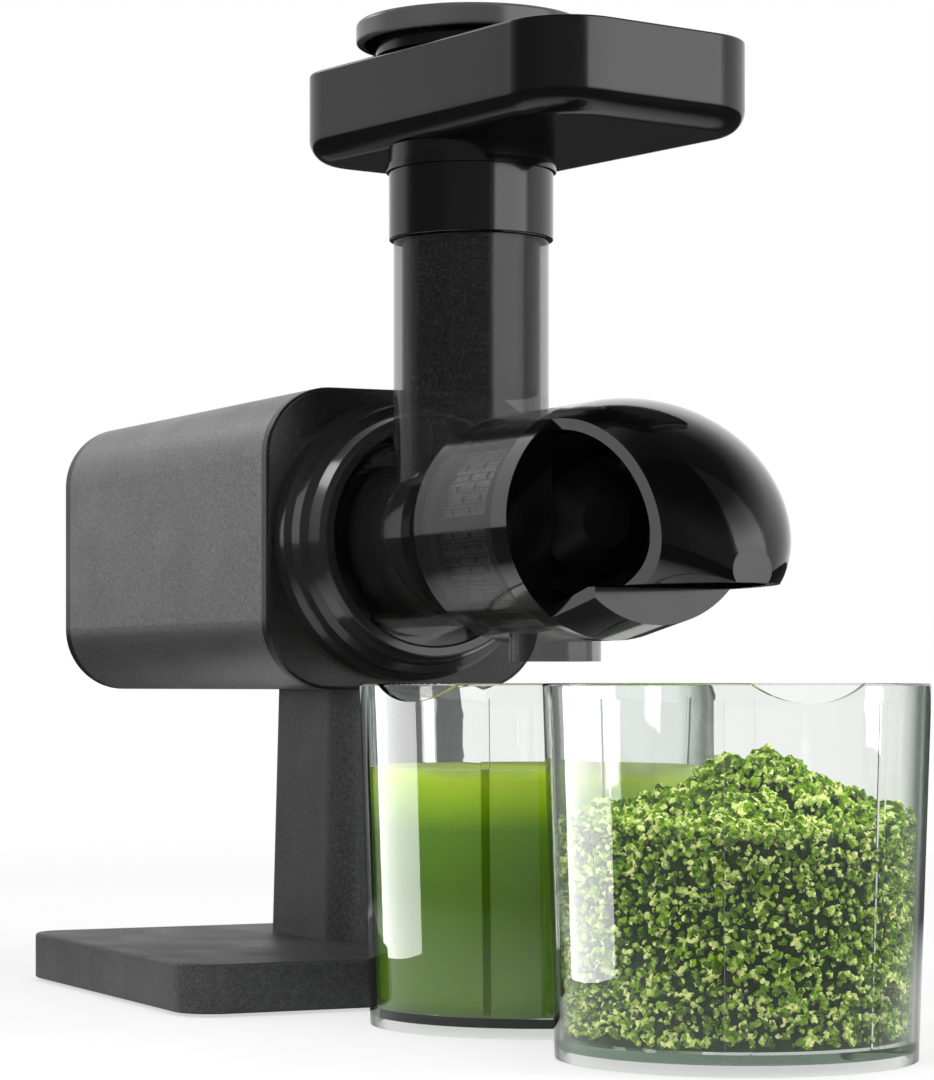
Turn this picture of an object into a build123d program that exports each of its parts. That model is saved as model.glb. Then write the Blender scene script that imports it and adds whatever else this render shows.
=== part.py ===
from build123d import *
import os
from math import cos, pi, radians, sin, sqrt

# Cold press juicer, millimetres. +Z is up and z = 0 is the table under the rubber feet.
# The juicing head points along -Y, the motor housing along +Y, and x = 0 is the plane
# through the middle of the auger. The origin is under the middle of the whole set, cups
# included. Sizes along the axis are measured from the front face of the motor housing.

# ---------------------------------------------------------------- driving sizes
axis_height = 153.0          # auger axis above the table
housing_front = 33.7         # y of the motor housing's front face; the set's middle is at y = 0

# stand
plate_width = 208.0
plate_depth = 162.0
plate_thickness = 15.6
plate_front = -66.0          # y of the plate's front edge
plate_corner = 13.0
foot_proud = 1.0             # how far the rubber feet stand out under the plate
foot_radius = 8.0
foot_recess = 3.0
foot_inset = 18.0            # from the plate's edges to a foot's centre
leg_width = 48.0
leg_depth = 58.0
leg_setback = 34.0           # from the plate's rear edge to the leg's rear face
leg_flare = 2.0              # growth of the leg's half width towards the plate
leg_corner = 8.0
stand_screw_radius = 2.5
stand_screw_head = 4.6
stand_screw_grip = 14.0
stand_screw_spread_x = 22.0
stand_screw_spread_y = 38.0

# motor housing
housing_side = 102.0
housing_corner = 23.4
housing_wall = 3.0
housing_length = 212.0       # front face of the front cover to the back of the rear cover
cover_thickness = 5.0
cover_edge = 1.2
rear_cover_thickness = 8.0
cover_screw_radius = 1.5
cover_screw_head = 2.8
cover_screw_length = 14.0
boss_radius = 5.0
boss_bite = 0.7              # how far a screw boss runs into the housing's rounded corner
vent_slot_length = 30.0
vent_slot_width = 2.6
vent_pitch = 6.0
vent_count = 6

# stepped collar on the front cover
collar_radius = 48.4
collar_steps = [(-7.0, 48.0), (-8.5, 46.2), (-14.5, 45.4), (-16.0, 43.0), (-22.0, 41.4)]
collar_nose = -24.0          # y of the collar's front rim
collar_nose_radius = 38.6
collar_bore = 36.4
collar_floor = 8.0           # thickness of the collar's floor
collar_screw_circle = 46.0
collar_screw_radius = 2.0
collar_screw_head = 3.6

# juicing drum and its feed tube
drum_radius = 36.2
drum_front = -140.7
drum_step = -85.6            # y where the clear drum starts
drum_step_height = 0.5
drum_wall = 3.0
drum_gap = 2.0               # drum's back face in front of the collar's floor
flange_radius = 33.0
flange_thickness = 4.5
neck_radius = 30.0
neck_wall = 3.0
neck_end = -62.0             # y where the neck starts to widen
lug_count = 3
lug_reach = 35.6             # radius of the bayonet lugs on the flange
lug_width = 14.0
catch_sweep = 44.0           # degrees of each catch that holds a lug
catch_thickness = 3.0
tube_y = -51.5               # feed tube axis
tube_radius = 25.4
tube_bore = 22.8
tube_overlap = 14.6           # how far the tube's spigot reaches into the collar above it
tube_spigot = 24.4
spout_y = -112.0
spout_radius = 14.3
spout_bore = 11.6
spout_drop = 42.2             # spout's end below the auger axis

# collar, feed tray and pusher above the drum
chute_collar_radius = 26.9
chute_collar_rise = 95.4      # collar's lower edge above the auger axis
chute_collar_height = 24.5
chute_lip = 0.9
tray_turn = 11.0             # the tray is turned this much about the feed tube
tray_width = 88.0
tray_length = 148.0
tray_shift_x = 13.0          # tray centre from the tube axis, in the tray's own axes
tray_shift_y = -10.0
tray_neck = 5.1              # from the collar's top to the tray's underside
tray_height = 29.5
tray_corner = 22.0
tray_wall = 2.6
tray_edge = 8.0
pusher_radius = 22.2
pusher_wall = 2.2
pusher_drop = 82.6            # pusher's end below the tray's floor
pusher_stop_radius = 24.6    # shoulder that rests on the tray's floor round the opening
pusher_neck_radius = 27.6
pusher_neck_rise = 11.4       # neck's lower end above the tray's floor
pusher_head_radius = 31.2
pusher_head_gap = 0.6        # head above the tray's rim
cap_radius = 37.6
cap_rise = 4.9                # cap's lower edge above the tray's rim
cap_height = 7.0
cap_rim = 2.6
cap_recess = 4.0

# pulp hood on the drum's front
hood_flange = 10.5           # length of the round flange
hood_reach = 83.0            # from the flange to the nose
hood_drop = 21.0             # hood's lower edge below the auger axis
hood_wall = 2.6
hood_cut = -21.0             # x of the flat cut that opens the hood's side
lip_front = -178.8           # y of the flat lip under the outlet
lip_radius = 32.0
spigot_length = 5.0
spigot_gap = 0.35

# auger, screen and drive
auger_core = 12.0
auger_nose_core = 23.0
auger_flight = 26.0
auger_press_flight = 29.4
flight_thickness = 3.6
rear_pitch = 24.0
press_pitch = 13.0
auger_back = -20.0
auger_front = -146.0
journal_radius = 6.5
hex_flats = 9.0
hex_gap = 0.12
screen_radius = 31.0
screen_thickness = 0.6
screen_back = -89.5
screen_front = -134.0
screen_hole = 1.3
screen_rows = 6
screen_columns = 26
frame_ring = 4.0
frame_ribs = 6
shaft_radius = 6.0
running_gap = 0.05
slip_gap = 0.1

# gear train and motor
gear_case_gap = 1.4          # gear case to the housing's roof; the module follows from it
pinion_teeth = 12
wheel_teeth = 48
gear_gap = 1.0               # wheel tip to the gear case wall
gear_wall = 1.6
gear_case_front = 20.0
gear_case_depth = 30.0
gear_lid = 3.0
gear_boss_radius = 27.5
stage_width = 9.0
idler_pin_radius = 2.5
motor_radius = 30.0
motor_length = 86.0
motor_wall = 2.0
rotor_radius = 20.0
rotor_length = 56.0
stator_bore = 21.0
motor_shaft_radius = 2.5
fan_radius = 26.0
fan_width = 8.0
fan_blades = 8
saddle_width = 22.0
saddle_span = 44.0
saddle_height = 30.0

# switch, inlet and board on the rear
switch_width = 20.0
switch_height = 14.0
switch_depth = 18.0
switch_bezel = 2.2
switch_drop = 24.0           # switch centre below the auger axis
rocker_gap = 0.5
rocker_rise = 2.6
inlet_radius = 6.5
inlet_bore = 3.4
inlet_side = 28.0            # inlet centre to the side of the switch
board_width = 56.0
board_length = 42.0
board_thickness = 1.6
board_lift = 6.0
board_inset = 10.0           # from the board to the rear cover
relay_size = (16.0, 20.0, 10.0)
relay_place = -16.0
capacitor_radius = 6.0
capacitor_height = 12.0
capacitor_place = 10.0

# cups
cup_rim_radius = 54.0
cup_base_radius = 50.5
cup_height = 104.0
cup_wall = 2.2
cup_floor = 2.8
cup_floor_lift = 3.0         # the floor is raised inside the base ring
cup_rib_width = 2.6
cup_rib_height = 0.9
cup_rib_drop = 4.5           # from the rim to the top of a rib
lip_dip = 5.5
lip_round = 27.5             # radius of the pouring dip
rib_spread = 27.0            # ribs stand this many degrees to each side of the dip and opposite it
juice_cup_place = (-11.0, -120.0)
pulp_cup_place = (-3.0, -229.0)
seat_gap = 0.3

os.makedirs("parts", exist_ok=True)

# ---------------------------------------------------------------- derived sizes
plate_bottom = foot_proud
plate_top = plate_bottom + plate_thickness
plate_back = plate_front + plate_depth
plate_middle = (plate_front + plate_back) / 2
housing_bottom = axis_height - housing_side / 2
housing_floor = housing_bottom + housing_wall
leg_middle = plate_back - leg_setback - leg_depth / 2
shell_back = housing_length - rear_cover_thickness
corner_reach = (housing_corner - housing_wall - boss_radius + boss_bite) / sqrt(2)
cover_screw_spread = 2 * (housing_side / 2 - housing_corner + corner_reach)
collar_face = -collar_floor
drum_back = collar_face - drum_gap
hood_back = drum_front - hood_flange
spout_bottom = axis_height - spout_drop
hood_floor = axis_height - hood_drop
chute_collar_bottom = axis_height + chute_collar_rise
chute_collar_top = chute_collar_bottom + chute_collar_height
tube_top = chute_collar_bottom + tube_overlap
tray_bottom = chute_collar_top + tray_neck
tray_top = tray_bottom + tray_height
tray_floor = tray_bottom + tray_wall
pusher_bottom = tray_floor - pusher_drop
pusher_neck_bottom = tray_floor + pusher_neck_rise
pusher_head_bottom = tray_top + pusher_head_gap
cap_bottom = tray_top + cap_rise
housing_room = housing_side / 2 - housing_wall - gear_case_gap
gear_module = (housing_room - gear_gap - gear_wall) / (pinion_teeth / 2 + wheel_teeth + 1)
gear_distance = gear_module * (pinion_teeth + wheel_teeth) / 2
wheel_tip = gear_module * (wheel_teeth / 2 + 1)
case_inner = wheel_tip + gear_gap
case_outer = case_inner + gear_wall
gear_case_back = gear_case_front + gear_case_depth
motor_front = gear_case_back + gear_lid
motor_back = motor_front + motor_length


# In these helpers y is measured from the front face of the motor housing.
def place(x, y, z):
    """Point in the set's frame."""
    return (x, housing_front + y, z)


def level(z):
    """Level plane at height z with its origin at the housing's front face."""
    return Plane(origin=place(0, 0, z))


def facing_front(y, x=0.0, z=axis_height):
    """Plane across the auger axis at y: local x is +X, local y is +Z, normal is -Y."""
    return Plane(origin=place(x, y, z), x_dir=(1, 0, 0), z_dir=(0, -1, 0))


# Turned pieces on the auger axis are drawn as (y, radius) and revolved about this axis.
turning_plane = Plane(origin=place(0, 0, axis_height), x_dir=(0, 1, 0), z_dir=(1, 0, 0))
auger_axis = Axis((0, 0, axis_height), (0, 1, 0))


# ---------------------------------------------------------------- stand
foot_x = plate_width / 2 - foot_inset
foot_y = plate_depth / 2 - foot_inset
stand_screw_hole = stand_screw_radius + slip_gap
stand_head_height = 3.0

with BuildPart() as base_plate:
    with BuildSketch(level(plate_bottom)):
        with Locations((0, plate_middle)):
            RectangleRounded(plate_width, plate_depth, plate_corner)
    extrude(amount=plate_thickness)
    fillet(base_plate.edges().group_by(Axis.Z)[-1], 1.2)
    fillet(base_plate.edges().group_by(Axis.Z)[0], 0.8)
    with BuildSketch(level(plate_bottom)):
        with Locations((0, plate_middle)):
            with GridLocations(2 * foot_x, 2 * foot_y, 2, 2):
                Circle(foot_radius + slip_gap)
    extrude(amount=foot_recess, mode=Mode.SUBTRACT)
    with Locations(Location(place(0, leg_middle, plate_bottom), (180, 0, 0))):
        with GridLocations(stand_screw_spread_x, stand_screw_spread_y, 2, 2):
            CounterBoreHole(stand_screw_hole, stand_screw_head + slip_gap, stand_head_height + slip_gap,
                            plate_thickness)
base_plate.part.label = "base_plate"
export_step(base_plate.part, "parts/base_plate.step")

with BuildPart() as rubber_feet:
    with BuildSketch(level(0)):
        with Locations((0, plate_middle)):
            with GridLocations(2 * foot_x, 2 * foot_y, 2, 2):
                Circle(foot_radius)
    extrude(amount=foot_recess + foot_proud)
    chamfer(rubber_feet.edges().group_by(Axis.Z)[0], 0.5)
rubber_feet.part.label = "rubber_feet"
export_step(rubber_feet.part, "parts/rubber_feet.step")

with BuildPart() as stand_leg:
    with BuildSketch(level(plate_top)):
        with Locations((0, leg_middle)):
            RectangleRounded(leg_width + 2 * leg_flare, leg_depth + leg_flare, leg_corner)
    with BuildSketch(level(housing_bottom)):
        with Locations((0, leg_middle)):
            RectangleRounded(leg_width, leg_depth, leg_corner)
    loft()
    with BuildSketch(level(plate_top)):
        with Locations((0, leg_middle)):
            with GridLocations(stand_screw_spread_x, stand_screw_spread_y, 2, 2):
                Circle(stand_screw_hole)
    extrude(amount=stand_screw_grip + 2, mode=Mode.SUBTRACT)
    with BuildSketch(level(housing_bottom)):
        with Locations((0, leg_middle)):
            with GridLocations(stand_screw_spread_x, stand_screw_spread_y, 2, 2):
                Circle(stand_screw_hole)
    extrude(amount=-stand_screw_grip - 2, mode=Mode.SUBTRACT)
stand_leg.part.label = "stand_leg"
export_step(stand_leg.part, "parts/stand_leg.step")

with BuildPart() as stand_screws:
    with Locations(place(0, leg_middle, plate_bottom)):
        with GridLocations(stand_screw_spread_x, stand_screw_spread_y, 2, 2):
            Cylinder(stand_screw_head, stand_head_height, align=(Align.CENTER, Align.CENTER, Align.MIN))
            Cylinder(stand_screw_radius, plate_thickness + stand_screw_grip,
                     align=(Align.CENTER, Align.CENTER, Align.MIN))
stand_screws.part.label = "stand_screws"
export_step(stand_screws.part, "parts/stand_screws.step")

with BuildPart() as housing_screws:
    with Locations(place(0, leg_middle, housing_floor)):
        with GridLocations(stand_screw_spread_x, stand_screw_spread_y, 2, 2):
            Cylinder(stand_screw_head, stand_head_height, align=(Align.CENTER, Align.CENTER, Align.MIN))
            Cylinder(stand_screw_radius, housing_wall + stand_screw_grip,
                     align=(Align.CENTER, Align.CENTER, Align.MAX))
housing_screws.part.label = "housing_screws"
export_step(housing_screws.part, "parts/housing_screws.step")

# ---------------------------------------------------------------- motor housing
inner_side = housing_side - 2 * housing_wall
inner_corner = housing_corner - housing_wall
shell_length = shell_back - cover_thickness
board_front = shell_back - board_length - board_inset
post_radius = 2.6
post_spread_x = board_width - 10
post_spread_y = board_length - 10

with BuildPart() as housing_shell:
    with BuildSketch(facing_front(shell_back)):
        RectangleRounded(housing_side, housing_side, housing_corner)
        RectangleRounded(inner_side, inner_side, inner_corner, mode=Mode.SUBTRACT)
    extrude(amount=shell_length)
    with BuildSketch(facing_front(shell_back)):
        with GridLocations(cover_screw_spread, cover_screw_spread, 2, 2):
            Circle(boss_radius)
    extrude(amount=cover_screw_length + 4)
    with BuildSketch(facing_front(shell_back)):
        with GridLocations(cover_screw_spread, cover_screw_spread, 2, 2):
            Circle(cover_screw_radius + slip_gap)
    extrude(amount=cover_screw_length, mode=Mode.SUBTRACT)
    with BuildSketch(level(housing_floor - 0.5)):
        with Locations((0, board_front + board_length / 2)):
            with GridLocations(post_spread_x, post_spread_y, 2, 2):
                Circle(post_radius)
    extrude(amount=board_lift + 0.5)
    with BuildSketch(level(housing_bottom)):
        with Locations((0, leg_middle)):
            with GridLocations(stand_screw_spread_x, stand_screw_spread_y, 2, 2):
                Circle(stand_screw_hole)
    extrude(amount=housing_wall, mode=Mode.SUBTRACT)
housing_shell.part.label = "housing_shell"
export_step(housing_shell.part, "parts/housing_shell.step")

front_bore = 21.0
with BuildPart() as front_cover:
    with BuildSketch(facing_front(cover_thickness)):
        RectangleRounded(housing_side, housing_side, housing_corner)
        Circle(front_bore, mode=Mode.SUBTRACT)
        with PolarLocations(collar_screw_circle / 2, 4, 45):
            Circle(collar_screw_radius + slip_gap, mode=Mode.SUBTRACT)
    extrude(amount=cover_thickness)
    fillet(front_cover.faces().sort_by(Axis.Y)[0].outer_wire().edges(), cover_edge)
front_cover.part.label = "front_cover"
export_step(front_cover.part, "parts/front_cover.step")

switch_z = axis_height - switch_drop
with BuildPart() as rear_cover:
    with BuildSketch(facing_front(housing_length)):
        RectangleRounded(housing_side, housing_side, housing_corner)
    extrude(amount=rear_cover_thickness)
    fillet(rear_cover.faces().sort_by(Axis.Y)[-1].outer_wire().edges(), 3.0)
    with BuildSketch(facing_front(housing_length)):
        with Locations((0, 17)):
            with GridLocations(vent_slot_length + 8, vent_pitch, 2, vent_count):
                SlotOverall(vent_slot_length, vent_slot_width)
        with Locations((0, -switch_drop)):
            Rectangle(switch_width + 2 * slip_gap, switch_height + 2 * slip_gap)
        with Locations((inlet_side, -switch_drop)):
            Circle(inlet_radius - 1.5 + slip_gap)
        with GridLocations(cover_screw_spread, cover_screw_spread, 2, 2):
            Circle(cover_screw_radius + slip_gap)
    extrude(amount=rear_cover_thickness, mode=Mode.SUBTRACT)
    with BuildSketch(facing_front(housing_length)):
        with GridLocations(cover_screw_spread, cover_screw_spread, 2, 2):
            Circle(cover_screw_head + slip_gap)
    extrude(amount=2.2, mode=Mode.SUBTRACT)
rear_cover.part.label = "rear_cover"
export_step(rear_cover.part, "parts/rear_cover.step")

with BuildPart() as cover_screws:
    with BuildSketch(facing_front(housing_length - 0.2)):
        with GridLocations(cover_screw_spread, cover_screw_spread, 2, 2):
            Circle(cover_screw_head)
    extrude(amount=2.0)
    with BuildSketch(facing_front(housing_length - 2.0)):
        with GridLocations(cover_screw_spread, cover_screw_spread, 2, 2):
            Circle(cover_screw_radius)
    extrude(amount=rear_cover_thickness - 3 + cover_screw_length)
cover_screws.part.label = "cover_screws"
export_step(cover_screws.part, "parts/cover_screws.step")

# ---------------------------------------------------------------- stepped collar
coupling_bore = 14.0
catch_gap = 0.5
flange_front = drum_back - flange_thickness
with BuildPart() as front_collar:
    with BuildSketch(turning_plane):
        with BuildLine():
            Polyline([(0, coupling_bore), (0, collar_radius)] + collar_steps
                     + [(collar_nose, collar_nose_radius + 1.6), (collar_nose, collar_bore),
                        (collar_face, collar_bore), (collar_face, coupling_bore)], close=True)
        make_face()
    revolve(axis=auger_axis)
    rims = front_collar.edges().filter_by(GeomType.CIRCLE).group_by(Axis.Y)[0]
    fillet(rims, 0.9)
    with BuildSketch(facing_front(flange_front - catch_gap)):
        for catch in range(lug_count):
            with BuildLine():
                start = 90 + catch * 360 / lug_count - catch_sweep / 2
                outer = CenterArc((0, 0), collar_bore + 1, start, catch_sweep)
                inner = CenterArc((0, 0), flange_radius + catch_gap, start, catch_sweep)
                Line(outer @ 0, inner @ 0)
                Line(outer @ 1, inner @ 1)
            make_face()
    extrude(amount=catch_thickness)
    with BuildSketch(facing_front(0)):
        with PolarLocations(collar_screw_circle / 2, 4, 45):
            Circle(collar_screw_radius + slip_gap)
    extrude(amount=collar_floor, mode=Mode.SUBTRACT)
    with BuildSketch(facing_front(collar_face)):
        with PolarLocations(collar_screw_circle / 2, 4, 45):
            Circle(collar_screw_head + slip_gap)
    extrude(amount=-2.4, mode=Mode.SUBTRACT)
front_collar.part.label = "front_collar"
export_step(front_collar.part, "parts/front_collar.step")

with BuildPart() as collar_screws:
    with BuildSketch(facing_front(collar_face + 2.3)):
        with PolarLocations(collar_screw_circle / 2, 4, 45):
            Circle(collar_screw_head)
    extrude(amount=2.0)
    with BuildSketch(facing_front(collar_face + 2.3)):
        with PolarLocations(collar_screw_circle / 2, 4, 45):
            Circle(collar_screw_radius)
    extrude(amount=-18.0)
collar_screws.part.label = "collar_screws"
export_step(collar_screws.part, "parts/collar_screws.step")

# ---------------------------------------------------------------- gear case and motor
bearing_outer = 12.0
bearing_width = 7.0
bearing_front_y = cover_thickness + 3.0


def case_outline(radius):
    """Upright slot round the shaft axis and the idler pin above it."""
    with Locations((0, gear_distance / 2)):
        SlotCenterToCenter(gear_distance, 2 * radius, rotation=90)


with BuildPart() as gear_case:
    with BuildSketch(facing_front(gear_case_back)):
        case_outline(case_outer)
    extrude(amount=gear_case_depth)
    with BuildSketch(facing_front(gear_case_back)):
        case_outline(case_inner)
    extrude(amount=gear_case_depth - 2.5, mode=Mode.SUBTRACT)
    with BuildSketch(facing_front(gear_case_front)):
        Circle(gear_boss_radius)
    extrude(amount=gear_case_front - cover_thickness)
    with BuildSketch(facing_front(gear_case_front + 2.5)):
        Circle(shaft_radius + 1)
    extrude(amount=gear_case_front + 2.5 - cover_thickness, mode=Mode.SUBTRACT)
    with BuildSketch(facing_front(bearing_front_y + bearing_width)):
        Circle(bearing_outer + slip_gap)
    extrude(amount=bearing_width + bearing_front_y - cover_thickness, mode=Mode.SUBTRACT)
    with BuildSketch(facing_front(gear_case_front)):
        with PolarLocations(collar_screw_circle / 2, 4, 45):
            Circle(collar_screw_radius + slip_gap)
    extrude(amount=gear_case_front - cover_thickness, mode=Mode.SUBTRACT)
    with BuildSketch(facing_front(gear_case_front + 2.5)):
        with Locations((0, gear_distance)):
            Circle(idler_pin_radius + slip_gap)
    extrude(amount=2.0, mode=Mode.SUBTRACT)
gear_case.part.label = "gear_case"
export_step(gear_case.part, "parts/gear_case.step")

with BuildPart() as gear_case_lid:
    with BuildSketch(facing_front(motor_front)):
        case_outline(case_outer)
        Circle(motor_shaft_radius + 1, mode=Mode.SUBTRACT)
        with Locations((0, gear_distance)):
            Circle(idler_pin_radius + slip_gap, mode=Mode.SUBTRACT)
    extrude(amount=gear_lid)
gear_case_lid.part.label = "gear_case_lid"
export_step(gear_case_lid.part, "parts/gear_case_lid.step")

with BuildPart() as idler_pin:
    with BuildSketch(facing_front(motor_front - 0.5, z=axis_height + gear_distance)):
        Circle(idler_pin_radius)
    extrude(amount=motor_front - gear_case_front - 1.5)
idler_pin.part.label = "idler_pin"
export_step(idler_pin.part, "parts/idler_pin.step")

with BuildPart() as output_bearing:
    with BuildSketch(turning_plane):
        with BuildLine():
            y0 = bearing_front_y
            y1 = bearing_front_y + bearing_width
            ring_in = shaft_radius + running_gap
            Polyline([(y0, ring_in), (y0, 8.4), (y0 + 1, 8.4), (y0 + 1, 9.8), (y0, 9.8), (y0, bearing_outer),
                      (y1, bearing_outer), (y1, 9.8), (y1 - 1, 9.8), (y1 - 1, 8.4), (y1, 8.4), (y1, ring_in)],
                     close=True)
        make_face()
    revolve(axis=auger_axis)
output_bearing.part.label = "output_bearing"
export_step(output_bearing.part, "parts/output_bearing.step")


def gear_points(teeth, start):
    """Corners of a spur gear with straight-sided teeth; the first tooth is centred on start degrees."""
    pitch = gear_module * teeth / 2
    step = 2 * pi / teeth
    tip_half = 0.13 * step
    root_half = 0.27 * step
    tip = pitch + 0.85 * gear_module
    root = pitch - 1.25 * gear_module
    points = []
    for tooth in range(teeth):
        centre = radians(start) + tooth * step
        for radius, angle in ((root, -root_half), (tip, -tip_half), (tip, tip_half), (root, root_half)):
            points.append((radius * cos(centre + angle), radius * sin(centre + angle)))
    return points


def gear_sketch(back_y, z, teeth, start):
    """A gear's outline on the plane across the axis at back_y, centred at height z."""
    with BuildSketch(facing_front(back_y, z=z)) as outline:
        with BuildLine():
            Polyline(gear_points(teeth, start), close=True)
        make_face()
    return outline.sketch


half_wheel_tooth = 180.0 / wheel_teeth
idler_z = axis_height + gear_distance
stage_one_front = gear_case_back - 2 - stage_width
stage_two_front = stage_one_front - 2 - stage_width

with BuildPart() as idler_gear:
    extrude(gear_sketch(stage_one_front + stage_width, idler_z, wheel_teeth, 270 + half_wheel_tooth),
            amount=stage_width)
    extrude(gear_sketch(stage_one_front, idler_z, pinion_teeth, 270), amount=2 + stage_width)
    with BuildSketch(facing_front(gear_case_back - 2, z=axis_height + gear_distance)):
        Circle(idler_pin_radius + running_gap)
    extrude(amount=2 * stage_width + 2, mode=Mode.SUBTRACT)
idler_gear.part.label = "idler_gear"
export_step(idler_gear.part, "parts/idler_gear.step")

with BuildPart() as output_gear:
    extrude(gear_sketch(stage_two_front + stage_width, axis_height, wheel_teeth, 90 + half_wheel_tooth),
            amount=stage_width)
    with BuildSketch(facing_front(stage_two_front + stage_width)):
        Circle(shaft_radius + slip_gap / 2)
    extrude(amount=stage_width, mode=Mode.SUBTRACT)
output_gear.part.label = "output_gear"
export_step(output_gear.part, "parts/output_gear.step")

coupling_radius = 12.0
coupling_front = -8.5
hex_radius = hex_flats / sqrt(3)
socket_radius = (hex_flats + 2 * hex_gap) / sqrt(3)
with BuildPart() as output_shaft:
    with BuildSketch(facing_front(stage_two_front + stage_width)):
        Circle(shaft_radius)
    extrude(amount=stage_two_front + stage_width - 2.0)
    with BuildSketch(facing_front(4.0)):
        Circle(coupling_radius)
    extrude(amount=4.0 - coupling_front)
    with BuildSketch(facing_front(3.0)):
        RegularPolygon(socket_radius, 6)
    extrude(amount=3.0 - coupling_front, mode=Mode.SUBTRACT)
output_shaft.part.label = "output_shaft"
export_step(output_shaft.part, "parts/output_shaft.step")

with BuildPart() as motor_can:
    with BuildSketch(turning_plane):
        with BuildLine():
            end_hole = motor_shaft_radius + running_gap
            inner_radius = motor_radius - motor_wall
            Polyline([(motor_front, end_hole), (motor_front, motor_radius), (motor_back, motor_radius),
                      (motor_back, end_hole), (motor_back - motor_wall, end_hole),
                      (motor_back - motor_wall, inner_radius), (motor_front + motor_wall, inner_radius),
                      (motor_front + motor_wall, end_hole)], close=True)
        make_face()
    revolve(axis=auger_axis)
motor_can.part.label = "motor_can"
export_step(motor_can.part, "parts/motor_can.step")

core_front = motor_front + (motor_length - rotor_length) / 2
with BuildPart() as motor_stator:
    with BuildSketch(facing_front(core_front + rotor_length)):
        Circle(inner_radius - slip_gap)
        Circle(stator_bore, mode=Mode.SUBTRACT)
    extrude(amount=rotor_length)
motor_stator.part.label = "motor_stator"
export_step(motor_stator.part, "parts/motor_stator.step")

with BuildPart() as motor_rotor:
    with BuildSketch(facing_front(core_front + rotor_length)):
        Circle(rotor_radius)
        with PolarLocations(rotor_radius - 1.5, 12):
            Rectangle(4, 2, mode=Mode.SUBTRACT)
        Circle(motor_shaft_radius + slip_gap / 2, mode=Mode.SUBTRACT)
    extrude(amount=rotor_length)
motor_rotor.part.label = "motor_rotor"
export_step(motor_rotor.part, "parts/motor_rotor.step")

fan_front = motor_back + 3.0
with BuildPart() as motor_shaft:
    with BuildSketch(facing_front(fan_front + fan_width)):
        Circle(motor_shaft_radius)
    extrude(amount=fan_front + fan_width - stage_one_front)
    extrude(gear_sketch(stage_one_front + stage_width, axis_height, pinion_teeth, 90), amount=stage_width)
motor_shaft.part.label = "motor_shaft"
export_step(motor_shaft.part, "parts/motor_shaft.step")

with BuildPart() as motor_fan:
    with BuildSketch(facing_front(fan_front + fan_width)):
        Circle(8)
        with PolarLocations(fan_radius / 2 + 3, fan_blades):
            Rectangle(fan_radius - 6, 1.6)
        Circle(motor_shaft_radius + slip_gap / 2, mode=Mode.SUBTRACT)
    extrude(amount=fan_width)
motor_fan.part.label = "motor_fan"
export_step(motor_fan.part, "parts/motor_fan.step")

with BuildPart() as motor_saddle:
    with BuildSketch(facing_front((motor_front + motor_back + saddle_width) / 2)):
        with Locations((0, housing_floor - axis_height)):
            Rectangle(saddle_span, saddle_height, align=(Align.CENTER, Align.MIN))
        Circle(motor_radius + slip_gap, mode=Mode.SUBTRACT)
    extrude(amount=saddle_width)
motor_saddle.part.label = "motor_saddle"
export_step(motor_saddle.part, "parts/motor_saddle.step")

# ---------------------------------------------------------------- board, switch and inlet
board_bottom = housing_floor + board_lift
with BuildPart() as control_board:
    with Locations(place(0, board_front + board_length / 2, board_bottom)):
        Box(board_width, board_length, board_thickness, align=(Align.CENTER, Align.CENTER, Align.MIN))
    with Locations(place(relay_place, board_front + board_length / 2, board_bottom + board_thickness)):
        Box(*relay_size, align=(Align.CENTER, Align.CENTER, Align.MIN))
    with Locations(place(capacitor_place, board_front + board_length / 2, board_bottom + board_thickness)):
        Cylinder(capacitor_radius, capacitor_height, align=(Align.CENTER, Align.CENTER, Align.MIN))
control_board.part.label = "control_board"
export_step(control_board.part, "parts/control_board.step")

bezel_edge = 2.0
rocker_width = switch_width - 5.0
rocker_height = switch_height - 3.4
rocker_pivot_y = housing_length - 1.0
rocker_plane = Plane(origin=place(0, 0, 0), x_dir=(0, 1, 0), z_dir=(1, 0, 0))
trunnion_radius = 1.2
trunnion_length = rocker_width / 2 + 1.4
with BuildPart() as switch_body:
    with BuildSketch(facing_front(housing_length + switch_bezel, z=switch_z)):
        Rectangle(switch_width + 2 * bezel_edge, switch_height + 2 * bezel_edge)
    extrude(amount=switch_bezel)
    chamfer(switch_body.faces().sort_by(Axis.Y)[-1].edges(), 0.6)
    with BuildSketch(facing_front(housing_length, z=switch_z)):
        Rectangle(switch_width, switch_height)
    extrude(amount=switch_depth)
    with BuildSketch(facing_front(housing_length + switch_bezel, z=switch_z)):
        Rectangle(rocker_width + 2 * rocker_gap, rocker_height + 2 * rocker_gap)
    extrude(amount=switch_bezel + 6.0, mode=Mode.SUBTRACT)
    with BuildSketch(rocker_plane):
        with Locations((rocker_pivot_y, switch_z)):
            Circle(trunnion_radius + running_gap)
    extrude(amount=trunnion_length + slip_gap, both=True, mode=Mode.SUBTRACT)
switch_body.part.label = "switch_body"
export_step(switch_body.part, "parts/switch_body.step")

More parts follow.
